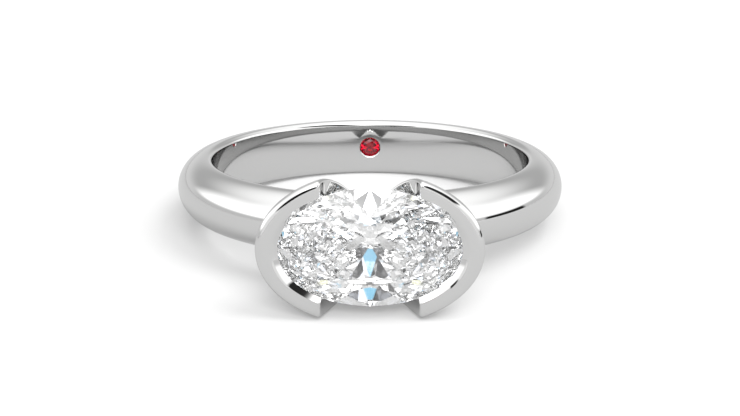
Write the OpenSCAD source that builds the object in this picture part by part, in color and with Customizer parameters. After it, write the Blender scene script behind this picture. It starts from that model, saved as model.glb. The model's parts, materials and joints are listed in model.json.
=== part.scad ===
// Engagement ring with an oval brilliant held at its two ends by a half bezel.
// Millimetres. The ring lies on its side as it rests by itself: on the band's back and on the
// two lower tips of the bezel. +X runs across the stone, -Y faces the stone, +Z is up.

/* [Band] */
// Inner diameter, the finger size
finger_d = 17.0; // [15:0.1:21]
// Width of the band along the finger
band_w = 3.14; // [2.8:0.02:3.4]
// Radius of the rounded edges inside the band
comfort_r = 0.3; // [0.2:0.01:0.45]

/* [Oval stone] */
// Width of the oval stone at its girdle
stone_w = 5.76; // [5:0.02:6]
// Length of the oval stone over its width
stone_ratio = 1.58; // [1.4:0.01:1.62]
// Distance of the oval stone's girdle above the band's outer face
stone_lift = 2.62; // [2.5:0.01:3]
// Angle of the crown's main facets
crown_angle = 34.5; // [30:0.5:38]
// Angle of the pavilion's main facets
pavilion_angle = 40.8; // [39:0.1:42]
// Width of the table over the stone's width
table_part = 0.58; // [0.5:0.01:0.65]
// How far the star facets reach from the table to the girdle
star_part = 0.5; // [0.4:0.05:0.6]
// How far the lower halves reach from the girdle to the culet
lower_part = 0.77; // [0.6:0.01:0.85]
// Thickness of the girdle over the stone's width
girdle_part = 0.03; // [0.02:0.005:0.05]

/* [Half bezel] */
// Outer width of the bezel along the finger
bezel_w = 7.46; // [7.2:0.02:7.8]
// Outer length of the bezel across the finger
bezel_l = 10.92; // [10.6:0.02:11.4]
// Height of the bezel's rim above the stone's girdle
rim_above = 0.61; // [0.5:0.01:0.7]
// Radius of the rim's outer edge
rim_edge_r = 0.3; // [0.2:0.01:0.35]
// Width of the bright bevel inside the rim
rim_bevel = 0.22; // [0.15:0.01:0.25]
// How far the rim reaches over the stone's girdle
lip_over = 0.1; // [0.06:0.01:0.14]
// Height of the straight wall below the rim's edge
wall_h = 0.45; // [0.35:0.05:0.6]
// Radius where the wall turns in to the bezel's underside
turn_r = 0.9; // [0.7:0.05:1]
// Slope of the bezel's underside
under_angle = 30.6; // [28:0.1:34]
// Radius of the round scoop that parts the two halves of the bezel
scoop_r = 2.5; // [2.2:0.05:2.6]
// Height of the scoop's centre above the rim
scoop_above = 0.4; // [0.3:0.05:0.6]
// Half length of the tapered foot where it leaves the band
foot_l = 3.0; // [2.6:0.1:3.4]
// Half width of the foot where it leaves the band
foot_w = 1.15; // [1:0.05:1.3]
// Widening of the foot from the band up to the bezel's underside
foot_flare = 1.45; // [1.2:0.05:1.5]

/* [Accent stone] */
// Diameter of the small round stone inside the band
accent_d = 1.1; // [1:0.05:1.3]
// Diameter of the bright-cut rim around it
accent_rim_d = 1.32; // [1.25:0.01:1.5]

/* [Hidden] */
$fn = 96;

// Clearance between a stone and its seat
gap = 0.03;

// Band
bore_r = finger_d / 2;
crest_r = bore_r + comfort_r;
dome_r = band_w / 2;
band_out_r = crest_r + dome_r;

// Oval stone: distances from the finger's axis
stone_r = stone_w / 2;
girdle_h = band_out_r + stone_lift;
table_h = girdle_h + stone_r * (girdle_part + (1 - table_part) * tan(crown_angle));
culet_h = girdle_h - stone_r * (girdle_part + tan(pavilion_angle));
GIRDLE_STEPS = 4;

// Half bezel: distances from the finger's axis
bezel_r = bezel_w / 2;
bezel_ratio = bezel_l / bezel_w;
rim_h = girdle_h + rim_above;
turn_h = rim_h - rim_edge_r - wall_h;
scoop_h = rim_h + scoop_above;
lip_r = stone_r - lip_over;
seat_r = stone_r + gap;
lip_h = girdle_h + stone_r * girdle_part + lip_over * tan(crown_angle) + gap;
foot_top_h = turn_h - turn_r;
CUT_PAST = 1;

// Accent stone: its table is level with the band's inner face
accent_r = accent_d / 2;
accent_girdle_h = bore_r + accent_r * (girdle_part + (1 - table_part) * tan(crown_angle));
accent_bevel_h = 0.08;
accent_lip = 0.02;
ACCENT_STEPS = 2;

// Rest pose: the ring rocks forward or back until the bezel's tips and the band's back
// touch the same level surface
TILT_MIN = 0;
TILT_MAX = 20;
TILT_HALVINGS = 30;
LEVELS = 60;

// Half width of the bezel's outside at height h, at the middle of the oval
function wall_r(h) =
    h > rim_h - rim_edge_r ? bezel_r - rim_edge_r
        + sqrt(max(0, pow(rim_edge_r, 2) - pow(h - rim_h + rim_edge_r, 2)))
    : h > turn_h ? bezel_r
    : bezel_r - turn_r + sqrt(max(0, pow(turn_r, 2) - pow(turn_h - h, 2)));
// Half length of the scoop at height h, and the bezel's half width where it is cut there
function scoop_x(h) = sqrt(max(0, pow(scoop_r, 2) - pow(scoop_h - h, 2)));
function tip_w(h) = sqrt(pow(wall_r(h), 2) - pow(scoop_x(h) / bezel_ratio, 2));
TIP_LEVELS = [for (i = [0:LEVELS]) rim_h - (rim_h - turn_h + turn_r / 2) * i / LEVELS];

// How far the tips and the band's back reach below the ring's centre at a tilt
function tips_reach(tilt) = max([for (h = TIP_LEVELS) tip_w(h) * cos(tilt) - h * sin(tilt)]);
function back_reach(tilt) = crest_r * sin(tilt) + dome_r;
function level_tilt(low, high, halvings) =
    let (middle = (low + high) / 2)
    halvings == 0 ? middle
    : tips_reach(middle) > back_reach(middle) ? level_tilt(middle, high, halvings - 1)
    : level_tilt(low, middle, halvings - 1);

rest_tilt = level_tilt(TILT_MIN, TILT_MAX, TILT_HALVINGS);
rest_z = back_reach(rest_tilt);
front_y = table_h * cos(rest_tilt) + stone_r * table_part * sin(rest_tilt);
back_y = crest_r * cos(rest_tilt) + dome_r;
rest_y = (front_y - back_y) / 2;

module at_rest() {
    translate([0, rest_y, rest_z]) rotate([-rest_tilt, 0, 0]) children();
}
// Local z runs outward from the finger's axis, through the middle of the bezel
module toward_front() {
    rotate([90, 0, 0]) children();
}
// Local z runs outward from the finger's axis, through the middle of the band's back
module toward_back() {
    rotate([-90, 0, 0]) children();
}

// Brilliant cut. Points are on a stone of half width 1 with its girdle at z = 0, and
// x is stretched to the oval. Facets stay flat, because the stretch keeps planes plane.
function turned(r, a, z) = [r * cos(a), r * sin(a), z];
// Height at angle a of the plane through point p and the two girdle points at a0 and a1
function edge_z(p, a0, a1, z0, a) =
    let (g0 = turned(1, a0, z0), n = cross(g0 - p, turned(1, a1, z0) - p), q = turned(1, a, 0) - g0)
    z0 - (n[0] * q[0] + n[1] * q[1]) / n[2];

module brilliant(half_w, ratio, steps) {
    sides = 8;
    part = 360 / sides;
    half = part / 2;
    count = sides * 2 * steps;
    top_z = girdle_part;
    low_z = -girdle_part;
    table_edge = table_part * cos(half);
    star_r = table_edge + star_part * (1 - table_edge);
    star_z = top_z + (1 - star_r * cos(half)) * tan(crown_angle);
    lower_r = 1 - lower_part;
    lower_z = low_z - (1 - lower_r * cos(half)) * tan(pavilion_angle);
    // Girdle points lie in the plane of the half facet that ends on them
    girdle_top = [for (i = [0:count - 1]) let (
        a = half / steps * i, a0 = half * floor(i / steps), middle = part * floor(i / steps / 2) + half)
        turned(1, a, edge_z(turned(star_r, middle, star_z), a0, a0 + half, top_z, a))];
    girdle_low = [for (i = [0:count - 1]) let (
        a = half / steps * i, a0 = half * floor(i / steps), middle = part * floor(i / steps / 2) + half)
        turned(1, a, edge_z(turned(lower_r, middle, lower_z), a0, a0 + half, low_z, a))];
    table = [for (k = [0:sides - 1])
        turned(table_part, part * k, top_z + (1 - table_part) * tan(crown_angle))];
    stars = [for (k = [0:sides - 1]) turned(star_r, part * k + half, star_z)];
    lowers = [for (k = [0:sides - 1]) turned(lower_r, part * k + half, lower_z)];
    culet = [[0, 0, low_z - tan(pavilion_angle)]];
    points = concat(table, stars, girdle_top, girdle_low, lowers, culet);
    S = sides;
    G = S + sides;
    H = G + count;
    L = H + count;
    C = L + sides;
    faces = concat(
        [[for (k = [sides - 1:-1:0]) k]],
        [for (k = [0:sides - 1]) [k, (k + 1) % sides, S + k]],
        [for (k = [0:sides - 1]) [k, S + k, G + 2 * steps * k, S + (k + sides - 1) % sides]],
        [for (j = [0:2 * sides - 1]) concat([S + floor(j / 2)],
            [for (i = [steps:-1:0]) G + (j * steps + i) % count])],
        [for (i = [0:count - 1]) [G + i, G + (i + 1) % count, H + (i + 1) % count, H + i]],
        [for (j = [0:2 * sides - 1]) concat([L + floor(j / 2)],
            [for (i = [0:steps]) H + (j * steps + i) % count])],
        [for (k = [0:sides - 1]) [C, L + (k + sides - 1) % sides, H + 2 * steps * k, L + k]]
    );
    polyhedron([for (p = points) [p[0] * half_w * ratio, p[1] * half_w, p[2] * half_w]], faces);
}

// Half-round band with rounded edges inside
module shank() {
    rotate_extrude() {
        translate([bore_r, comfort_r - dome_r]) square([comfort_r, band_w - 2 * comfort_r]);
        for (side = [-1, 1])
            translate([crest_r, side * (dome_r - comfort_r)]) circle(comfort_r);
        intersection() {
            translate([crest_r, 0]) circle(dome_r);
            translate([crest_r, -dome_r]) square([dome_r, band_w]);
        }
    }
}

// Section of the bezel's outside, from its axis outwards
module bezel_section() {
    turn_x = bezel_r - turn_r;
    tangent = [turn_x + turn_r * sin(under_angle), turn_h - turn_r * cos(under_angle)];
    translate([0, turn_h]) square([bezel_r, rim_h - rim_edge_r - turn_h]);
    translate([0, turn_h]) square([bezel_r - rim_edge_r, rim_h - turn_h]);
    translate([bezel_r - rim_edge_r, rim_h - rim_edge_r]) circle(rim_edge_r);
    translate([turn_x, turn_h]) circle(turn_r);
    polygon([[0, turn_h], [turn_x, turn_h], tangent, [0, tangent[1] - tangent[0] * tan(under_angle)]]);
}

// Space of the oval stone inside the bezel, open at the rim
module seat_section() {
    polygon([
        [0, rim_h + CUT_PAST],
        [lip_r + rim_bevel + CUT_PAST, rim_h + CUT_PAST],
        [lip_r, rim_h - rim_bevel],
        [lip_r, lip_h],
        [seat_r, lip_h - (seat_r - lip_r) * tan(crown_angle)],
        [seat_r, girdle_h - stone_r * girdle_part - 2 * gap],
        [0, culet_h - 3 * gap]
    ]);
}

// Space of the accent stone in the band, open towards the finger
module accent_seat() {
    mouth_r = accent_rim_d / 2;
    lip = accent_r - accent_lip;
    girdle = accent_r * girdle_part;
    rotate_extrude() polygon([
        [0, bore_r - CUT_PAST],
        [mouth_r, bore_r - CUT_PAST],
        [mouth_r, bore_r],
        [lip, bore_r + accent_bevel_h],
        [accent_r + gap, accent_girdle_h - girdle - gap],
        [accent_r + gap, accent_girdle_h + girdle + gap],
        [0, accent_girdle_h + girdle + accent_r * tan(pavilion_angle) + 2 * gap]
    ]);
}

// Band and half bezel, one piece of metal
module shank_with_bezel() {
    color("gainsboro") at_rest() difference() {
        union() {
            shank();
            toward_front() {
                scale([bezel_ratio, 1, 1]) rotate_extrude() bezel_section();
                scale([foot_l / foot_w, 1, 1]) translate([0, 0, crest_r])
                    cylinder(h = foot_top_h - crest_r, r1 = foot_w, r2 = foot_w * foot_flare);
            }
        }
        toward_front() {
            scale([stone_ratio, 1, 1]) rotate_extrude() seat_section();
            translate([0, 0, scoop_h]) rotate([90, 0, 0])
                cylinder(h = bezel_w + 2 * CUT_PAST, r = scoop_r, center = true);
        }
        toward_back() accent_seat();
    }
}

module oval_stone() {
    color("aliceblue") at_rest() toward_front()
        translate([0, 0, girdle_h]) brilliant(stone_r, stone_ratio, GIRDLE_STEPS);
}

module accent_stone() {
    color("crimson") at_rest() toward_back()
        translate([0, 0, accent_girdle_h]) rotate([180, 0, 0]) brilliant(accent_r, 1, ACCENT_STEPS);
}

shank_with_bezel();
oval_stone();
accent_stone();
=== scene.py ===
# %% [markdown]
# # An engagement ring with an oval brilliant in a half bezel
#
# The ring lies on its side on a white table, the way a ring rests when it is put down. This script
# dresses the packed CAD model: the band and its setting get finer surfaces for a mirror polish,
# the stones keep the exact flat facets of the CAD, and every surface gets a finish of its own.
# Blender's unit is the metre. A ring is easier to read in millimetres, so MM converts its sizes.

# %% Load the frame
import bpy
import bmesh
import json
import math
import numpy as np
from collections import namedtuple
from mathutils import Matrix, Vector


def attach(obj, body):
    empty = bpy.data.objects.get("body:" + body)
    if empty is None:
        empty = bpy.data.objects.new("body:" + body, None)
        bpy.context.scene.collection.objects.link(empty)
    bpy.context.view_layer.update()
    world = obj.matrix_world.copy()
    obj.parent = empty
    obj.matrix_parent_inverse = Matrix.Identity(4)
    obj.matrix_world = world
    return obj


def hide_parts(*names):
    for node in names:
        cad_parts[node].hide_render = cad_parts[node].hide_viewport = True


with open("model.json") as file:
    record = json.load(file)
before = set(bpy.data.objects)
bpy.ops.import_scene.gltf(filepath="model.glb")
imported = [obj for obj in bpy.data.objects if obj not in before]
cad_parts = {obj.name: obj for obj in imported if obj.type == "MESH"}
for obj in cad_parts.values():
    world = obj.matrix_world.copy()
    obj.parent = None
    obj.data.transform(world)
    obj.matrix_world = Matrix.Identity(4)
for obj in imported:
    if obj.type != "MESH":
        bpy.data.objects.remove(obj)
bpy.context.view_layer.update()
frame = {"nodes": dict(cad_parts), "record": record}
nodes = frame["nodes"]
MM = 0.001
print("CAD nodes:", sorted(nodes))

# %% [markdown]
# ## How the ring lies
#
# The ring was designed standing in its own axes: the finger passes along Z and the oval stone
# faces -Y. On the table it leans back by a few degrees, because it rests on the band's back and on
# two tips of the setting. The packed record tells where the finger hole then is and how its axis
# leans. A matrix made from that carries every piece from the ring's axes to the table.

# %% Place on the table
hole = frame["record"]["mounts"][0]
REST_TILT = math.atan2(hole["axis"][1], hole["axis"][2])
AT_REST = Matrix.Translation(hole["pos_m"]) @ Matrix.Rotation(-REST_TILT, 4, "X")
TOWARD_FRONT = AT_REST @ Matrix.Rotation(math.radians(90), 4, "X")
TOWARD_BACK = AT_REST @ Matrix.Rotation(math.radians(-90), 4, "X")
print("leans by", round(math.degrees(REST_TILT), 2), "degrees")

# %% [markdown]
# ## The camera
#
# The picture is taken from close by, a little above the ring, with a short telephoto lens. The
# camera looks slightly past the ring's middle, as the photograph does. Its place was worked out
# from the four visible edges of the band.

# %% Camera
CAMERA_DISTANCE = 100 * MM
CAMERA_ABOVE_BAND = math.radians(13.9)
LENS_PIXELS = 1839
IMAGE_WIDTH, IMAGE_HEIGHT = 740, 416
RING_CENTRE_PIXEL_Y = 182.3
SENSOR_WIDTH = 36
NEAREST, FARTHEST = 5 * MM, 5

camera_data = bpy.data.cameras.new("camera")
camera_data.sensor_width = SENSOR_WIDTH
camera_data.lens = SENSOR_WIDTH * LENS_PIXELS / IMAGE_WIDTH
camera_data.clip_start, camera_data.clip_end = NEAREST, FARTHEST
camera = bpy.data.objects.new("camera", camera_data)
bpy.context.scene.collection.objects.link(camera)
bpy.context.scene.camera = camera
past_centre = math.atan((RING_CENTRE_PIXEL_Y - IMAGE_HEIGHT / 2) / LENS_PIXELS)
camera.location = AT_REST @ Vector((0, -CAMERA_DISTANCE * math.cos(CAMERA_ABOVE_BAND),
                                    CAMERA_DISTANCE * math.sin(CAMERA_ABOVE_BAND)))
camera.rotation_euler = (math.radians(90) - CAMERA_ABOVE_BAND + past_centre - REST_TILT, 0, 0)
print("camera at", [round(v / MM, 1) for v in camera.location], "mm")

# %% [markdown]
# ## A short way to write node maths
#
# Node trees are easier to read as expressions than as boxes and wires. A Wire wraps one output
# socket. Adding or multiplying Wires adds Math nodes, and `make` adds any other node.

# %% The Wire class
class Wire:
    """An output socket of a node tree that takes part in Python expressions."""

    def __init__(self, tree, socket):
        self.tree, self.socket = tree, socket

    def math(self, operation, *others):
        node = self.tree.nodes.new("ShaderNodeMath")
        node.operation = operation
        for slot, value in zip(node.inputs, (self, *others)):
            plug(self.tree, slot, value)
        return Wire(self.tree, node.outputs[0])

    def __add__(self, other):
        return self.math("ADD", other)

    def __sub__(self, other):
        return self.math("SUBTRACT", other)

    def __mul__(self, other):
        return self.math("MULTIPLY", other)

    def __truediv__(self, other):
        return self.math("DIVIDE", other)

    def __radd__(self, other):
        return self + other

    def __rmul__(self, other):
        return self * other

    def __rsub__(self, other):
        return (self * -1) + other


def plug(tree, slot, value):
    """Links a Wire into a socket, or sets the socket's own value."""
    if isinstance(value, Wire):
        tree.links.new(value.socket, slot)
    else:
        slot.default_value = value


def make(tree, kind, settings=None, out=0, **sockets):
    """Adds a node: its settings first, then its sockets, by name or by in_NUMBER."""
    node = tree.nodes.new(kind)
    for name, value in (settings or {}).items():
        setattr(node, name, value)
    for name, value in sockets.items():
        key = int(name[3:]) if name.startswith("in_") else name.replace("_", " ")
        plug(tree, node.inputs[key], value)
    return Wire(tree, node.outputs[out]) if node.outputs else None


print("Wire:", Wire.__doc__)

# %% [markdown]
# ## Polished metal
#
# White gold is plated with rhodium and buffed, so it is a mirror with almost no colour. Wear makes
# some patches a little less sharp than others, which a noise in the ring's own space gives.
#
# The inside of the band mirrors itself, and every further mirror image loses light. The photograph
# shows this loss stronger than the metal's colour alone gives it. So the metal's colour carries
# painted shade: it is a little darker for light that metal has mirrored once before and much
# darker after the second time, unless the light came through a stone.

# %% Helpers for materials
def material(name):
    """A new material and its empty node tree."""
    made = bpy.data.materials.new(name)
    made.use_nodes = True
    made.node_tree.nodes.clear()
    return made, made.node_tree


def surface(tree, **sockets):
    """One Principled surface as the whole material."""
    shader = make(tree, "ShaderNodeBsdfPrincipled", **sockets)
    make(tree, "ShaderNodeOutputMaterial", Surface=shader)


def give_finish(mesh, finish):
    """Leaves a mesh with one material slot, which holds the finish."""
    mesh.materials.clear()
    mesh.materials.append(finish)


# %% Metal
WHITE, BLUE_PART = 0.78, 0.995
# Painted shade taken off the metal's colour after one and after two mirror images in metal
PAINTED_SHADE_AFTER_ONE, PAINTED_SHADE_AFTER_TWO = 0.2, 0.46
ROUGHNESS, ADDED_BY_WEAR = 0.015, 0.03
PATCHES_PER_METRE = 450


def polished_metal():
    made, tree = material("polished_white_gold")
    at = make(tree, "ShaderNodeTexCoord", out="Object")
    wear = make(tree, "ShaderNodeTexNoise", Vector=at, Scale=PATCHES_PER_METRE, Detail=2.0)
    # Painted shade: the colour is darker for light that metal has already mirrored, unless it came
    # through a stone
    mirrored = make(tree, "ShaderNodeLightPath", out="Glossy Depth")
    in_air = make(tree, "ShaderNodeLightPath", out="Transmission Depth").math("LESS_THAN", 0.5)
    painted_shade = (mirrored.math("GREATER_THAN", 0.5) * PAINTED_SHADE_AFTER_ONE
            + mirrored.math("GREATER_THAN", 1.5) * PAINTED_SHADE_AFTER_TWO)
    white = WHITE - in_air * painted_shade
    colour = make(tree, "ShaderNodeCombineColor", Red=white, Green=white, Blue=white * BLUE_PART)
    surface(tree, Base_Color=colour, Metallic=1.0, Roughness=wear * ADDED_BY_WEAR + ROUGHNESS)
    return made


metal = polished_metal()
print(metal.name, "has", len(metal.node_tree.nodes), "nodes")

# %% [markdown]
# ## The band
#
# A jeweller draws half-round wire and bends it to a circle. The band's shape follows that rule
# exactly, so Geometry Nodes build it the same way: a section is swept along a circle. The section
# starts as a circle of points. Points on the outer half keep the dome's radius, and points on the
# inner half take the small edge radius and move apart to both sides, which leaves the flat inner
# wall between them.

# %% Sizes of the band, in millimetres, and the inputs of its tree, in metres
BORE_R = hole["dims"]["r_mm"]
EDGE_R = 0.3
DOME_R = 1.57
CREST_R = BORE_R + EDGE_R
BAND_INPUTS = {"Crest Radius": ("Float", CREST_R * MM), "Edge Radius": ("Float", EDGE_R * MM),
               "Dome Radius": ("Float", DOME_R * MM), "Steps Around": ("Int", 384),
               "Steps Across": ("Int", 72), "Metal": ("Material", metal)}
print("band", round(CREST_R + DOME_R - BORE_R, 2), "mm thick,", 2 * DOME_R, "mm wide")

# %% Geometry Nodes tree of the band
def band_tree():
    tree = bpy.data.node_groups.new("half_round_band", "GeometryNodeTree")
    for name, (kind, _) in BAND_INPUTS.items():
        tree.interface.new_socket(name, in_out="INPUT", socket_type="NodeSocket" + kind)
    tree.interface.new_socket("Geometry", in_out="OUTPUT", socket_type="NodeSocketGeometry")
    given = {name: make(tree, "NodeGroupInput", out=name) for name in BAND_INPUTS}
    edge, dome, steps = (given[name] for name in ("Edge Radius", "Dome Radius", "Steps Across"))

    # The section, from the angle of each point
    index = make(tree, "GeometryNodeInputIndex")
    angle = (index + 0.5) / steps * (2 * math.pi)
    side, out = angle.math("SINE"), angle.math("COSINE")
    outer = out.math("GREATER_THAN", 0)
    radius = dome * outer + edge * (1 - outer)
    apart = (dome - edge) * (1 - outer) * side.math("SIGN")
    place = make(tree, "ShaderNodeCombineXYZ", X=out * radius, Y=side * radius + apart)
    points = make(tree, "GeometryNodeCurvePrimitiveCircle", Resolution=steps)
    section = make(tree, "GeometryNodeSetPosition", Geometry=points, Position=place)

    # The path, and the section swept along it
    path = make(tree, "GeometryNodeCurvePrimitiveCircle", Resolution=given["Steps Around"],
                Radius=given["Crest Radius"])
    swept = make(tree, "GeometryNodeCurveToMesh", Curve=path, Profile_Curve=section)
    smooth = make(tree, "GeometryNodeSetShadeSmooth", Geometry=swept)
    real = make(tree, "GeometryNodeRealizeInstances", Geometry=smooth)
    done = make(tree, "GeometryNodeSetMaterial", Geometry=real, Material=given["Metal"])
    make(tree, "NodeGroupOutput", in_0=done)
    return tree


half_round = band_tree()
print("band tree:", len(half_round.nodes), "nodes")

# %% Build the band and make it a plain mesh
def new_object(name, mesh):
    thing = bpy.data.objects.new(name, mesh)
    bpy.context.scene.collection.objects.link(thing)
    return thing


def make_plain(thing):
    """Gives a metal object its evaluated shape as its own mesh, and takes its modifiers off."""
    graph = bpy.context.evaluated_depsgraph_get()
    mesh = bpy.data.meshes.new_from_object(thing.evaluated_get(graph))
    thing.modifiers.clear()
    thing.data = mesh
    give_finish(mesh, metal)


shank = new_object("shank", bpy.data.meshes.new("shank"))
sweep = shank.modifiers.new("sweep", "NODES")
sweep.node_group = half_round
for item in half_round.interface.items_tree:
    if item.in_out == "INPUT":
        sweep[item.identifier] = BAND_INPUTS[item.name][1]
make_plain(shank)
corners = np.array([v.co[:] for v in shank.data.vertices])
radii = np.hypot(corners[:, 0], corners[:, 1]) / MM
print("band radii", radii.min().round(3), radii.max().round(3),
      "width", (np.ptp(corners[:, 2]) / MM).round(3), "mm,", len(corners), "points")

# %% [markdown]
# ## The half bezel
#
# The setting is an oval bowl with a round scoop across it, which leaves two halves that hold the
# stone by its ends. Cutting a fine mesh with a boolean leaves slivers that a mirror polish shows,
# so the mesh is laid out to fit instead. Every row of points is an ellipse at one height, and each
# row simply stops where the scoop begins.
#
# The space for the stone repeats the CAD's: a seat with a little clearance below the girdle, and a
# lip that reaches over it. Heights are distances from the finger's axis.

# %% Sizes of the stones' seats, in millimetres
CLEARANCE = 0.03
CROWN_SLOPE = math.tan(math.radians(34.5))
PAVILION_SLOPE = math.tan(math.radians(40.8))
# As parts of the stone's half width: half the girdle's thickness, and half the table's width
GIRDLE_PART, TABLE_PART = 0.03, 0.58
STONE_R, STONE_RATIO, GIRDLE_H = 2.88, 1.58, 12.99
LIP_OVER = 0.1
LIP_R, SEAT_R = STONE_R - LIP_OVER, STONE_R + CLEARANCE
LIP_H = GIRDLE_H + STONE_R * GIRDLE_PART + LIP_OVER * CROWN_SLOPE + CLEARANCE
UNDERCUT_H = LIP_H - (SEAT_R - LIP_R) * CROWN_SLOPE
SEAT_H = GIRDLE_H - STONE_R * GIRDLE_PART - 2 * CLEARANCE
SEAT_FLOOR_H = GIRDLE_H - STONE_R * (GIRDLE_PART + PAVILION_SLOPE) - 3 * CLEARANCE
print("the oval stone's seat is", round(SEAT_H - SEAT_FLOOR_H, 2), "mm deep")

# %% Sizes of the bezel, in millimetres
BEZEL_R, BEZEL_HALF_LENGTH = 3.77, 5.46
BEZEL_RATIO = BEZEL_HALF_LENGTH / BEZEL_R
RIM_H, RIM_EDGE_R, RIM_BEVEL = 13.6, 0.26, 0.22
# Where and how widely the wall turns in, and the slope of the cone under the stone
TURN_H, TURN_R, UNDER_ANGLE = 13.3, 1.75, math.radians(21.5)
SCOOP_R, SCOOP_H = 2.4, 14.0
# The rolled edge is smaller at the scoop's floor, and the bevel ends in a mitre
SCOOP_EDGE_LOW, SCOOP_EDGE_HIGH = 0.1, 0.16
MITRE_R = 0.04
METAL_BELOW_SEAT = 0.22
KEEL_R, KEEL_H = 1.5, SEAT_FLOOR_H - METAL_BELOW_SEAT

turn_x = BEZEL_R - TURN_R
tangent_r = turn_x + TURN_R * math.sin(UNDER_ANGLE)
tangent_h = TURN_H - TURN_R * math.cos(UNDER_ANGLE)
under_h = tangent_h - tangent_r * math.tan(UNDER_ANGLE)
keel_top = under_h + KEEL_R * math.tan(UNDER_ANGLE)
scoop_floor = SCOOP_H - SCOOP_R
wall_top = RIM_H - RIM_EDGE_R
print("the bowl leaves its cone at", round(tangent_h, 2), "mm and its rim is at", RIM_H, "mm")

# %% [markdown]
# ### The outline of the bowl
#
# From the rim down, the wall is upright, turns in with one large radius and closes to a flat cone.
# Inside the foot the cone dips to a small keel, which leaves metal below the point of the seat.

# %% How wide the bowl is at a height
def outer_r(h):
    """Half width of the bowl's outside at a height, and how fast it grows with the height."""
    if h < keel_top:
        growth = KEEL_R / (keel_top - KEEL_H)
        return (h - KEEL_H) * growth, growth
    if h < tangent_h:
        return (h - under_h) / math.tan(UNDER_ANGLE), 1 / math.tan(UNDER_ANGLE)
    if h < TURN_H:
        across = math.sqrt(TURN_R ** 2 - (TURN_H - h) ** 2)
        return turn_x + across, (TURN_H - h) / across
    return BEZEL_R, 0.0


def inner_r(h):
    """Half width of the space for the stone at a height, up to the lip."""
    heights = (SEAT_FLOOR_H, SEAT_H, UNDERCUT_H, LIP_H, RIM_H)
    return float(np.interp(h, heights, (0, SEAT_R, SEAT_R, LIP_R, LIP_R)))


print("wall at the girdle:", round(outer_r(GIRDLE_H)[0] - inner_r(GIRDLE_H), 2), "mm thick")

# %% [markdown]
# ### Rows of points
#
# A polisher rounds the edge between the wall and the scoop. The round is a rolled ball: where a
# ball of the edge's radius touches both the wall and the scoop, the surface follows the ball. So a
# row is written as an ellipse (half length, half width, height), the direction of its normal, and
# the radius of the ball that rolls over its end.

# %% The rows of each part of the bezel
Row = namedtuple("Row", "half_length half_width height normal ball")


def wall_row(h):
    r, growth = outer_r(h)
    ball = float(np.interp(h, (scoop_floor, TURN_H), (SCOOP_EDGE_LOW, SCOOP_EDGE_HIGH)))
    return Row(BEZEL_RATIO * r, r, h, (1, BEZEL_RATIO, -BEZEL_RATIO * growth), ball)


def rim_row(angle):
    """A row on the rim's rounded outer edge, from its outside (0) to its top (a quarter turn)."""
    out, up = math.cos(angle), math.sin(angle)
    r = BEZEL_R - RIM_EDGE_R + RIM_EDGE_R * out
    normal = (out, BEZEL_RATIO * out, BEZEL_RATIO * up)
    return Row(BEZEL_RATIO * r, r, wall_top + RIM_EDGE_R * up, normal, SCOOP_EDGE_HIGH)


def face_row(part):
    """A row of the rim's flat face, from its outer end (part 0) to the bevel (part 1)."""
    r_out, r_in = BEZEL_R - RIM_EDGE_R, LIP_R + RIM_BEVEL
    half_length = BEZEL_RATIO * r_out * (1 - part) + STONE_RATIO * r_in * part
    half_width = r_out * (1 - part) + r_in * part
    return Row(half_length, half_width, RIM_H, (0, 0, 1), SCOOP_EDGE_HIGH)


def bevel_row(part):
    """A row of the bright bevel inside the rim, whose end is a sharp mitre."""
    r = LIP_R + RIM_BEVEL * (1 - part)
    ball = SCOOP_EDGE_HIGH * (1 - part) + MITRE_R * part
    return Row(STONE_RATIO * r, r, RIM_H - RIM_BEVEL * part, (-1, -STONE_RATIO, STONE_RATIO), ball)


def inner_row(h):
    return Row(STONE_RATIO * inner_r(h), inner_r(h), h, (0, 0, 1), 0.0)


print("row at the lip:", [round(v, 2) for v in inner_row(LIP_H)[:3]], "mm")

# %% Where a row ends at the scoop
QUARTER_TURN = math.pi / 2
ROUND_OFF = 1e-6
HALVINGS = 40


def crossing(measure, low, high):
    """The value between low and high where measure turns from negative to positive."""
    for _ in range(HALVINGS):
        middle = (low + high) / 2
        low, high = (low, middle) if measure(middle) > 0 else (middle, high)
    return low


def row_point(row, turn):
    """A point of the row, and the direction that its surface faces there."""
    nx, ny, nh = row.normal
    normal = Vector((nx * math.cos(turn), ny * math.sin(turn), nh)).normalized()
    return Vector((row.half_length * math.cos(turn), row.half_width * math.sin(turn),
                   row.height)), normal


def scoop_gap(row, turn):
    """How far the row's ball is inside the scoop at a turn, less than zero in the metal."""
    place, normal = row_point(row, turn)
    centre = place - normal * row.ball
    return SCOOP_R + row.ball - math.hypot(centre.x, centre.z - SCOOP_H)


def row_end(row):
    """The turn where a row ends. A row below the scoop goes on to a quarter turn."""
    if scoop_gap(row, QUARTER_TURN) < ROUND_OFF:
        return QUARTER_TURN
    return crossing(lambda turn: scoop_gap(row, turn), 0, QUARTER_TURN)


def ball_arc(row, steps):
    """Points over the rounded edge, from just past the row's end to the scoop's face."""
    if row.ball == 0:
        return []
    place, normal = row_point(row, row_end(row))
    centre = place - normal * row.ball
    inward = Vector((-centre.x, 0, SCOOP_H - centre.z)).normalized()
    return [centre + normal.slerp(inward, i / steps) * row.ball for i in range(1, steps + 1)]


def scoop_turn(row):
    """The angle about the scoop's axis, from its floor, where a row meets the scoop's face."""
    arc = ball_arc(row, 1)
    point = arc[-1] if arc else row_point(row, row_end(row))[0]
    return math.atan2(abs(point.x), SCOOP_H - point.z)


print("the rim's rows end at", round(math.degrees(row_end(face_row(1))), 1), "degrees")

# %% [markdown]
# ### Rows that meet at the scoop
#
# The scoop's face is closed with one strip between the wall's rows and the seat's rows. For that
# both sets of rows meet the scoop at the same angles about its axis. Those angles keep the places
# where an outline has a corner, so the corners stay sharp.

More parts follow.
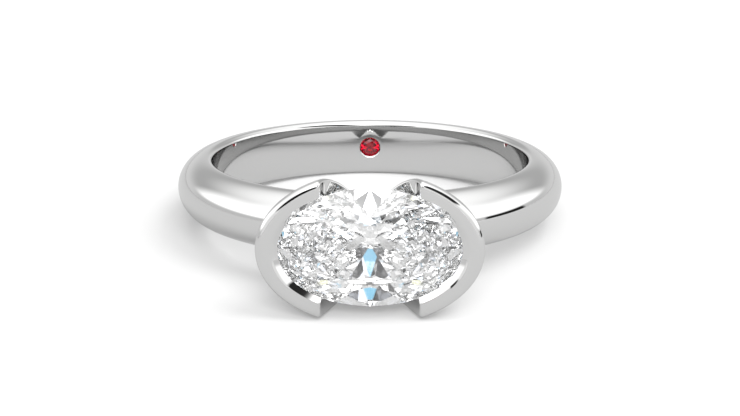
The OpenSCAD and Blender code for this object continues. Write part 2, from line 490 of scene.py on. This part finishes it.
# %% Rows from the middle of the underside round to the middle of the seat
KEEL_STEPS, UNDER_STEPS, SCOOP_STEPS, RIM_STEPS, FLOOR_STEPS = 2, 6, 29, 10, 8
CORNER_SPACE = 0.012


def spaced(values, keys, nearest):
    """Values in order, with the key values kept and others near them left out."""
    kept = [v for v in values if all(abs(v - k) > nearest for k in keys)]
    return sorted(kept + list(keys))


lowest = crossing(lambda h: scoop_gap(wall_row(h), QUARTER_TURN), keel_top, scoop_floor)
last_turn = scoop_turn(wall_row(wall_top))
inner_keys = [math.acos((SCOOP_H - h) / SCOOP_R) for h in (SEAT_H, UNDERCUT_H, LIP_H)]
outer_keys = [scoop_turn(wall_row(h)) for h in (tangent_h, TURN_H)]
even_turns = np.linspace(0, last_turn, SCOOP_STEPS + 1)[1:-1]
turns = spaced(even_turns, inner_keys + outer_keys, CORNER_SPACE)
cut_heights = [lowest] + [crossing(lambda h: scoop_turn(wall_row(h)) - turn, lowest, wall_top)
                          for turn in turns] + [wall_top]
seat_heights = [SCOOP_H - SCOOP_R * math.cos(turn) for turn in [0] + turns + [last_turn]]

keel = [wall_row(h) for h in np.linspace(KEEL_H, keel_top, KEEL_STEPS + 1)[:-1]]
under = [wall_row(h) for h in np.linspace(keel_top, lowest, UNDER_STEPS + 1)[:-1]]
wall = [wall_row(h) for h in cut_heights]
rim = [rim_row(angle) for angle in np.linspace(0, QUARTER_TURN, RIM_STEPS + 1)[1:]]
face = [face_row(part) for part in (0.25, 0.5, 0.75, 1)]
bevel = [bevel_row(part) for part in (0.33, 0.67, 1)]
seat = [inner_row(h) for h in reversed(seat_heights)]
floor = [inner_row(h) for h in np.linspace(scoop_floor, SEAT_FLOOR_H, FLOOR_STEPS + 1)[1:]]
below = keel + under
rows = below + wall + rim + face + bevel + seat + floor
print(len(rows), "rows,", len(wall), "of them up the wall beside the scoop")

# %% Lay out the mesh of one half and mirror it
ACROSS = 72
ARC_STEPS = 8
POINT_SIZE = 1e-6
MERGE_DISTANCE = 1e-5


def bezel_row(mesh, row, mirror):
    """Vertices of a row on one half, and of the rounded edge at its first and its last vertex."""
    def add(p, side):
        return mesh.verts.new((mirror * p.x, side * p.y, p.z))
    if row.half_width < POINT_SIZE:
        return [mesh.verts.new((0, 0, row.height))] * (ACROSS + 1), {0: [], -1: []}
    end = row_end(row)
    line = [add(row_point(row, turn)[0], 1) for turn in np.linspace(-end, end, ACROSS + 1)]
    arc = ball_arc(row, ARC_STEPS) if scoop_gap(row, QUARTER_TURN) > -ROUND_OFF else []
    return line, {0: [add(p, -1) for p in arc], -1: [add(p, 1) for p in arc]}


def join(mesh, low, high):
    """A strip of faces between two lines of vertices, of which some may be the same vertex."""
    for j in range(len(low) - 1):
        corners = list(dict.fromkeys((low[j], low[j + 1], high[j + 1], high[j])))
        if len(corners) > 2:
            mesh.faces.new(corners)


def bezel_half(mesh, mirror):
    """Strips between the rows and round both rounded edges, then the face of the scoop."""
    grid = [bezel_row(mesh, row, mirror) for row in rows]
    for (low, low_arcs), (high, high_arcs) in zip(grid, grid[1:]):
        join(mesh, low, high)
        for end in (0, -1):
            if low_arcs[end]:
                low_edge = [low[end]] + low_arcs[end]
                high_edge = [high[end]] + (high_arcs[end] or [high[end]] * ARC_STEPS)
                join(mesh, low_edge, high_edge)
    for end in (0, -1):
        edge = [arcs[end][-1] if arcs[end] else line[end]
                for line, arcs in grid[len(below):len(rows) - len(floor)]]
        pairs = len(wall) - 1
        for k in range(pairs):
            mesh.faces.new((edge[k], edge[k + 1], edge[-k - 2], edge[-k - 1]))
        mesh.faces.new(edge[pairs:len(edge) - pairs])


def bezel_mesh():
    mesh = bmesh.new()
    for mirror in (1, -1):
        bezel_half(mesh, mirror)
    bmesh.ops.remove_doubles(mesh, verts=mesh.verts, dist=MERGE_DISTANCE)
    bmesh.ops.recalc_face_normals(mesh, faces=mesh.faces)
    return mesh


# %% Put the bezel in its place
def settle(mesh, name, place, sharp=38):
    """Makes a metal object of a mesh drawn in millimetres. Edges above sharp degrees stay sharp."""
    open_edges = sum(len(e.link_faces) != 2 for e in mesh.edges)
    print(f"{name}: {len(mesh.faces)} faces, {open_edges} open edges,",
          round(mesh.calc_volume(signed=True), 2), "mm3")
    mesh.transform(place @ Matrix.Scale(MM, 4))
    data = bpy.data.meshes.new(name)
    mesh.to_mesh(data)
    mesh.free()
    data.shade_smooth()
    data.set_sharp_from_angle(angle=math.radians(sharp))
    give_finish(data, metal)
    return new_object(name, data)


half_bezel = settle(bezel_mesh(), "half_bezel", TOWARD_FRONT)

# %% [markdown]
# ## The foot
#
# Between the band and the bowl stands a tapered foot, and the solder that joins it leaves a small
# hollow curve above and below. Each column of the foot's mesh is one line: it leaves the band
# along the band's own surface, curves up the foot, and curves out again under the bowl.

# %% Sizes of the foot, in millimetres, and the surfaces that it meets
FOOT_R, FOOT_HALF_LENGTH, FOOT_FLARE = 1.15, 3.0, 1.45
FOOT_RATIO = FOOT_HALF_LENGTH / FOOT_R
FOOT_TOP_H = 11.95
FILLET, PAST_FILLET = 0.32, 1.15
JUST_SUNK, SUNK = 0.002, 0.03
HIDDEN_BASE_H, HIDDEN_TOP_H = CREST_R + 0.2, (KEEL_H + SEAT_FLOOR_H) / 2


def foot_point(turn, h):
    """A point of the tapered foot before its fillets: an ellipse that grows with the height."""
    r = FOOT_R * (1 + (FOOT_FLARE - 1) * (h - CREST_R) / (FOOT_TOP_H - CREST_R))
    return Vector((FOOT_RATIO * r * math.cos(turn), r * math.sin(turn), h))


def above_band(p):
    """How far a point is outside the band's domed face, less than zero inside it."""
    return math.hypot(math.hypot(p.x, p.z) - CREST_R, p.y) - DOME_R


def onto_band(p, sunk):
    """The point of the band's domed face that is nearest to p, a little way into the metal."""
    around = math.hypot(p.x, p.z)
    part = (DOME_R - sunk) / math.hypot(around - CREST_R, p.y)
    ring = CREST_R + (around - CREST_R) * part
    return Vector((p.x / around * ring, p.y * part, p.z / around * ring))


def bowl_h(p):
    """Height of the bowl's underside at a point, without the keel."""
    r = math.hypot(p.x / BEZEL_RATIO, p.y)
    if r < tangent_r:
        return under_h + r * math.tan(UNDER_ANGLE)
    return TURN_H - math.sqrt(TURN_R ** 2 - (r - turn_x) ** 2)


print("the bowl's cone starts", round(under_h - CREST_R - DOME_R, 2), "mm above the band")

# %% Mesh of the foot
FOOT_COLUMNS = 160
FILLET_STEPS = 8


def curve(a, b, c):
    """Points of the curve from a to c that leaves a towards b and reaches c from b."""
    parts = np.linspace(0, 1, FILLET_STEPS)
    return [a * (1 - t) ** 2 + b * 2 * t * (1 - t) + c * t ** 2 for t in parts]


def foot_column(turn):
    """One line of the foot, from inside the band to inside the bowl, with a fillet at each end."""
    out = Vector((math.cos(turn), FOOT_RATIO * math.sin(turn), 0)).normalized()
    low = crossing(lambda h: above_band(foot_point(turn, h)), CREST_R, RIM_H)
    high = crossing(lambda h: h - bowl_h(foot_point(turn, h)) - SUNK, low, RIM_H)
    corner, top = foot_point(turn, low), foot_point(turn, high)
    on_band = onto_band(corner + out * FILLET, JUST_SUNK)
    in_band = onto_band(corner + out * FILLET * PAST_FILLET, SUNK)
    on_bowl, in_bowl = top + out * FILLET, top + out * FILLET * PAST_FILLET
    on_bowl.z = bowl_h(on_bowl) + JUST_SUNK
    in_bowl.z = bowl_h(in_bowl) + SUNK
    lower = curve(on_band, corner, foot_point(turn, low + FILLET))
    upper = curve(foot_point(turn, high - FILLET), top, on_bowl)
    return [in_band] + lower + upper + [in_bowl]


def foot_mesh():
    mesh = bmesh.new()
    columns = [[mesh.verts.new(p) for p in foot_column(2 * math.pi * i / FOOT_COLUMNS)]
               for i in range(FOOT_COLUMNS)]
    base = mesh.verts.new((0, 0, HIDDEN_BASE_H))
    top = mesh.verts.new((0, 0, HIDDEN_TOP_H))
    for a, b in zip(columns, columns[1:] + columns[:1]):
        mesh.faces.new((base, b[0], a[0]))
        mesh.faces.new((top, a[-1], b[-1]))
        join(mesh, a, b)
    bmesh.ops.recalc_face_normals(mesh, faces=mesh.faces)
    return mesh


foot = settle(foot_mesh(), "foot", TOWARD_FRONT, sharp=60)

# %% [markdown]
# ## The seat of the small red stone
#
# The hidden red stone is let into the inside of the band. Its seat is one small turned shape, cut
# out of the finished band: a bright bevel at the mouth, then a pocket for the stone.

# %% Shape of the accent stone's seat, in millimetres
ACCENT_R, ACCENT_MOUTH_R, ACCENT_BEVEL = 0.55, 0.61, 0.08
ACCENT_LIP_OVER = 0.02
CUT_PAST = 0.4
SEAT_SIDES = 64
girdle_half = ACCENT_R * GIRDLE_PART
accent_girdle_h = BORE_R + girdle_half + ACCENT_R * (1 - TABLE_PART) * CROWN_SLOPE
pocket_r, pocket_half = ACCENT_R + CLEARANCE, girdle_half + CLEARANCE
pocket_floor = accent_girdle_h + pocket_half + ACCENT_R * PAVILION_SLOPE + CLEARANCE
seat_line = ((ACCENT_MOUTH_R, BORE_R - CUT_PAST), (ACCENT_MOUTH_R, BORE_R),
             (ACCENT_R - ACCENT_LIP_OVER, BORE_R + ACCENT_BEVEL),
             (pocket_r, accent_girdle_h - pocket_half), (pocket_r, accent_girdle_h + pocket_half))


def turned_mesh(line, point_h, sides):
    """A closed solid turned about Z: rings of the line, one flat end and one pointed end."""
    mesh = bmesh.new()
    rings = [[mesh.verts.new((r * math.cos(a), r * math.sin(a), h))
              for a in np.linspace(0, 2 * math.pi, sides, endpoint=False)] for r, h in line]
    for low, high in zip(rings, rings[1:]):
        join(mesh, low + low[:1], high + high[:1])
    mesh.faces.new(rings[0])
    point = mesh.verts.new((0, 0, point_h))
    join(mesh, rings[-1] + rings[-1][:1], [point] * (sides + 1))
    bmesh.ops.recalc_face_normals(mesh, faces=mesh.faces)
    return mesh


print("the red stone's seat is", round(pocket_floor - BORE_R, 2), "mm deep")

# %% Cut the seat into the band
shank.data.transform(AT_REST)
cutter = settle(turned_mesh(seat_line, pocket_floor, SEAT_SIDES), "seat_cutter", TOWARD_BACK)
cut = shank.modifiers.new("seat", "BOOLEAN")
cut.operation, cut.solver, cut.object = "DIFFERENCE", "EXACT", cutter
make_plain(shank)
bpy.data.objects.remove(cutter)
shank.data.set_sharp_from_angle(angle=math.radians(30))
print("band with seat:", len(shank.data.polygons), "faces")

# %% [markdown]
# ## Three pieces for one solid
#
# In the CAD the band and the bezel are one solid, because they are soldered together. Its three
# finer pieces stand for it and never move against each other, so all of them ride on the root.

# %% Hand the metal pieces to the frame
for piece in (shank, half_bezel, foot):
    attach(piece, "root")
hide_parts("shank_with_bezel")
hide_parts("shank_with_bezel")
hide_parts("shank_with_bezel")
print("metal pieces:", [piece.name for piece in (shank, half_bezel, foot)])

# %% [markdown]
# ## Stones
#
# A brilliant is a lens with flat mirrors at the back. The CAD stones have the real facets, so they
# only need real optics: a diamond bends light 2.42 times and a ruby 1.76 times.

# %% Diamond and ruby
STONES = {"oval_stone": ("diamond", (1, 1, 1, 1), 2.417),
          "accent_stone": ("ruby", (0.5, 0.004, 0.02, 1), 1.76)}


def stone_material(name, colour, ior):
    made, tree = material(name)
    surface(tree, Base_Color=colour, Roughness=0.0, IOR=ior, Transmission_Weight=1.0)
    return made


for node, optics in STONES.items():
    give_finish(nodes[node].data, stone_material(*optics))
    nodes[node].data.shade_flat()
    print(node, "is cut with", len(nodes[node].data.polygons), "triangles")

# %% [markdown]
# ## Light table
#
# The ring lies on a light table, a sheet of white opal that glows a little from below. This keeps
# the shadows soft and pale. The picture's background was brightened, but what the metal mirrors
# was not, so the table has a shader for the camera and one for all other light.

# %% Light table
TABLE_SEEN = {"white": 0.31, "glow": 0.23}
TABLE_REFLECTED = {"white": 0.22, "glow": 0.12}
TABLE_HALF = 1.5


def table_shader(tree, white, glow):
    """Matt opal glass of a given whiteness that glows."""
    return make(tree, "ShaderNodeBsdfPrincipled", Base_Color=(white, white, white, 1),
                Roughness=0.7, Specular_IOR_Level=0.0, Emission_Color=(1, 1, 1, 1),
                Emission_Strength=glow)


def light_table():
    data = bpy.data.meshes.new("light_table")
    corners = [(x * TABLE_HALF, y * TABLE_HALF, 0) for x, y in ((-1, -1), (1, -1), (1, 1), (-1, 1))]
    data.from_pydata(corners, [], [(0, 1, 2, 3)])
    made, tree = material("opal_glass")
    seen = make(tree, "ShaderNodeLightPath", out="Is Camera Ray")
    both = make(tree, "ShaderNodeMixShader", Fac=seen, in_1=table_shader(tree, **TABLE_REFLECTED),
                in_2=table_shader(tree, **TABLE_SEEN))
    make(tree, "ShaderNodeOutputMaterial", Surface=both)
    give_finish(data, made)
    return new_object("light_table", data)


light_table()
print("table", 2 * TABLE_HALF, "m wide")

# %% [markdown]
# ## The room that the metal mirrors
#
# A mirror polish shows nothing but its surroundings, so the room makes the picture. It has a large
# bright panel on each side, a bright front and a white ceiling, and its back wall is dim half way
# up. Two dark bars in front of the ring and a dark gap below the right panel turn into the crisp
# black lines on the bezel's rim and on the right shoulder.
#
# The room is painted on the sky by direction. A direction's height is 0 at the horizon and 1
# straight up. Its depth is 1 straight behind the ring, and its across is 1 at the right.

# %% Helpers for the room
def direction(azimuth, elevation):
    """A unit vector: azimuth 0 is the camera's side, 90 the right, elevation from the horizon."""
    a, e = math.radians(azimuth), math.radians(elevation)
    return (math.sin(a) * math.cos(e), -math.cos(a) * math.cos(e), math.sin(e))


def ramp(value, low, high, at_low=0.0, at_high=1.0):
    """A soft step: at_low up to low, at_high from high on."""
    return make(value.tree, "ShaderNodeMapRange", {"interpolation_type": "SMOOTHSTEP"},
                Value=value, From_Min=low, From_Max=high, To_Min=at_low, To_Max=at_high)


def dot(towards, vector):
    """The cosine of the angle between two directions."""
    return make(towards.tree, "ShaderNodeVectorMath", {"operation": "DOT_PRODUCT"}, out="Value",
                in_0=towards, in_1=vector)


def patch(towards, azimuth, elevation, radius, soft):
    """1 inside a round patch of the sky and 0 outside it. Sizes are in degrees."""
    outside, inside = (math.cos(math.radians(radius + s * soft)) for s in (1, -1))
    return ramp(dot(towards, direction(azimuth, elevation)), outside, inside)


BAR_SOFT = 0.15


def bar(towards, start, end, half_width):
    """1 along the great circle through two directions, like a straight bar in front of the sky."""
    axis = Vector(direction(*start)).cross(Vector(direction(*end))).normalized()
    edge = math.sin(math.radians(half_width))
    off = dot(towards, axis).math("ABSOLUTE")
    return ramp(off, edge * (1 + BAR_SOFT), edge * (1 - BAR_SOFT))


def blend(low, high, part):
    """low where part is 0, high where it is 1."""
    return low + (high - low) * part


print("straight above:", [round(v, 2) for v in direction(0, 90)])

# %% Walls and ceiling
world = bpy.data.worlds.new("room")
bpy.context.scene.world = world
world.use_nodes = True
room = world.node_tree
room.nodes.clear()
towards = make(room, "ShaderNodeTexCoord", out="Generated")
across, depth, height = (make(room, "ShaderNodeSeparateXYZ", out=axis, Vector=towards)
                         for axis in "XYZ")
back = (ramp(height, low=0.34, high=0.9, at_low=0.57, at_high=1.5)
        + ramp(height, low=0.3, high=0.05, at_low=0.0, at_high=0.28))
front = ramp(height, low=0.15, high=0.38, at_low=1.05, at_high=1.5)
side = ramp(height, low=0.08, high=0.2, at_low=0.75, at_high=1.8)
ends = blend(back, front, ramp(depth, low=0.15, high=-0.15))
walls = blend(ends, side, ramp(across.math("ABSOLUTE"), low=0.68, high=0.92))
print("walls and ceiling:", len(room.nodes), "nodes")

# %% Key light, dark bars and gap
ROOM_LEVEL, KEY_LEVEL = 0.86, 1.6
BAR_DARK, GAP_DARK = 0.98, 0.97

key = patch(towards, azimuth=0, elevation=62, radius=32, soft=8) * KEY_LEVEL
right_bar = (bar(towards, start=(20, 26), end=(50, 42), half_width=11)
             * patch(towards, azimuth=36, elevation=34, radius=24, soft=3))
left_bar = (bar(towards, start=(-8, 9), end=(-32, 24), half_width=8.5)
            * patch(towards, azimuth=-17, elevation=15, radius=19, soft=3))
gap = (ramp(height, low=0.12, high=0.1)
       * patch(towards, azimuth=86, elevation=0, radius=16, soft=2))
bright = (walls + key) * ROOM_LEVEL
for dark, share in ((right_bar, BAR_DARK), (left_bar, BAR_DARK), (gap, GAP_DARK)):
    bright = bright * (1 - dark * share)
print("with the key light, bars and gap:", len(room.nodes), "nodes")

# %% [markdown]
# ## What the stones look out at
#
# Each facet of a brilliant looks out in a narrow direction of its own, so small dark things around
# it make the stone sparkle. The metal doesn't need them, so only light that comes through a stone
# meets them: dark patches where the photograph's facets are dark, and small dots that are the same
# on the left and on the right. A patch of blue sky and two pale tints give the facets colour.

# %% The stones' surroundings
STONE_LEVEL = 1.6
DOT_SCALE, DOT_DARK = 6.0, 0.97
# Azimuth, elevation, radius in degrees, and the share of the light that the patch takes away
DARK_PATCHES = ((-43, 18, 7, 0.97), (43, 18, 7, 0.97), (-19, 8, 4, 0.97), (19, 8, 4, 0.97),
                (-30, 3, 3.5, 0.97), (30, 3, 3.5, 0.97), (-8, 35, 6, 0.2), (-95, 30, 7, 0.95),
                (70, 38, 7, 0.95), (150, 45, 9, 0.93), (-140, 20, 8, 0.93))

facing = bright * STONE_LEVEL
for azimuth, elevation, radius, share in DARK_PATCHES:
    facing = facing * (1 - patch(towards, azimuth, elevation, radius, soft=1) * share)
both_sides = make(room, "ShaderNodeCombineXYZ", X=across.math("ABSOLUTE"), Y=depth, Z=height)
nearest_dot = make(room, "ShaderNodeTexVoronoi", Vector=both_sides, Scale=DOT_SCALE)
facing = facing * (1 - ramp(nearest_dot, low=0.35, high=0.32) * DOT_DARK)
print("dark patches:", len(DARK_PATCHES))

# %% Blue sky and pale tints for the stones
# Blue is white light with its red and some green taken away, and yellow lacks some blue
sky = patch(towards, azimuth=0, elevation=11, radius=6.5, soft=3)
facing = blend(facing, 1.0, sky)
cool = patch(towards, azimuth=0, elevation=0, radius=34, soft=6) * 0.12
warm = (patch(towards, azimuth=-113, elevation=43, radius=6, soft=1)
        + patch(towards, azimuth=113, elevation=43, radius=6, soft=1)) * 0.25
through = make(room, "ShaderNodeLightPath", out="Is Transmission Ray")
tint = make(room, "ShaderNodeCombineColor", Red=1 - (sky * 0.6 + cool) * through,
            Green=1 - (sky * 0.2 + cool * 0.7) * through, Blue=1 - warm * through)
print("with the stones' surroundings:", len(room.nodes), "nodes")

# %% [markdown]
# ## Light of the room
#
# The camera sees plain white behind the table, the metal sees the room, and light through a stone
# sees the stones' surroundings. Light Path tells which ray is which.

# %% World shader
seen = make(room, "ShaderNodeLightPath", out="Is Camera Ray")
level = blend(blend(bright, facing, through), 1.0, seen)
glow = make(room, "ShaderNodeBackground", Color=tint, Strength=level)
make(room, "ShaderNodeOutputWorld", Surface=glow)
print("the whole room:", len(room.nodes), "nodes")

# %% [markdown]
# ## Shadows
#
# The ring's shadow falls to the left and under the setting. Two large soft lights, one in front and
# one high on the right, throw it. The metal and the stones don't show them.

# %% Two soft lights
LIGHT_DISTANCE, LIGHT_SIZE = 600 * MM, 420 * MM


def soft_light(name, azimuth, elevation, strength):
    """A round light that only the table sees. Strength 1 lights it as a white sky does."""
    data = bpy.data.lights.new(name, "AREA")
    data.shape, data.size = "DISK", LIGHT_SIZE
    data.energy = strength * (math.pi * LIGHT_DISTANCE) ** 2 / math.sin(math.radians(elevation))
    lamp = new_object(name, data)
    away = Vector(direction(azimuth, elevation))
    lamp.location = away * LIGHT_DISTANCE
    lamp.rotation_euler = away.to_track_quat("Z", "Y").to_euler()
    lamp.visible_camera = lamp.visible_glossy = lamp.visible_transmission = False
    print(name, "gives", round(data.energy, 2), "W")


soft_light("light_front", azimuth=5, elevation=32, strength=0.8)
soft_light("light_right", azimuth=75, elevation=56, strength=0.8)

# %% [markdown]
# ## Colours and bounces
#
# The Standard view keeps white paper white. Light meets many facets before it leaves a brilliant,
# and each of them is a bounce, so the limits on bounces are well above the usual ones.

# %% Colours as they are, and enough bounces for the stones
BOUNCES = 32

scene = bpy.context.scene
scene.view_settings.view_transform = "Standard"
scene.cycles.max_bounces = BOUNCES
scene.cycles.glossy_bounces = BOUNCES
scene.cycles.transmission_bounces = BOUNCES
print("view:", scene.view_settings.view_transform, "with", BOUNCES, "bounces")

# %% [markdown]
# ## Size
#
# The finer pieces have to stay inside the box of the CAD model.
